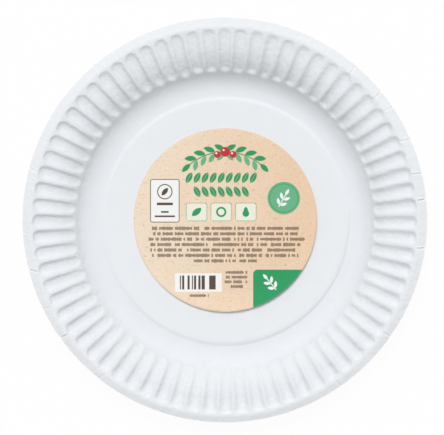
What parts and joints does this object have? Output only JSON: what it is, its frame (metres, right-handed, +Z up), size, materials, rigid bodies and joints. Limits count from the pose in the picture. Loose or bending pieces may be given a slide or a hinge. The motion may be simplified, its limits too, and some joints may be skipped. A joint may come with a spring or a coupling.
{
  "type": "paper plate",
  "caption": "Round white paper plate pressed from one sheet, with a raised flat floor, a fluted wall, a narrow smooth brim and a round printed label lying on the floor.",
  "frame": {"origin": "on the table under the middle of the plate", "axes": "+Z up through the middle of the plate, +Y towards the top edge of the label's print, +X to its right"},
  "size_m": [0.23, 0.23, 0.017],
  "materials": {
    "board": "matt, uncoated, faintly bluish white",
    "label_card": "matt kraft card with flecks and printed fields of green and white"
  },
  "bodies": {
    "root": {"plate": "board", "label": "label_card"}
  },
  "joints": []
}
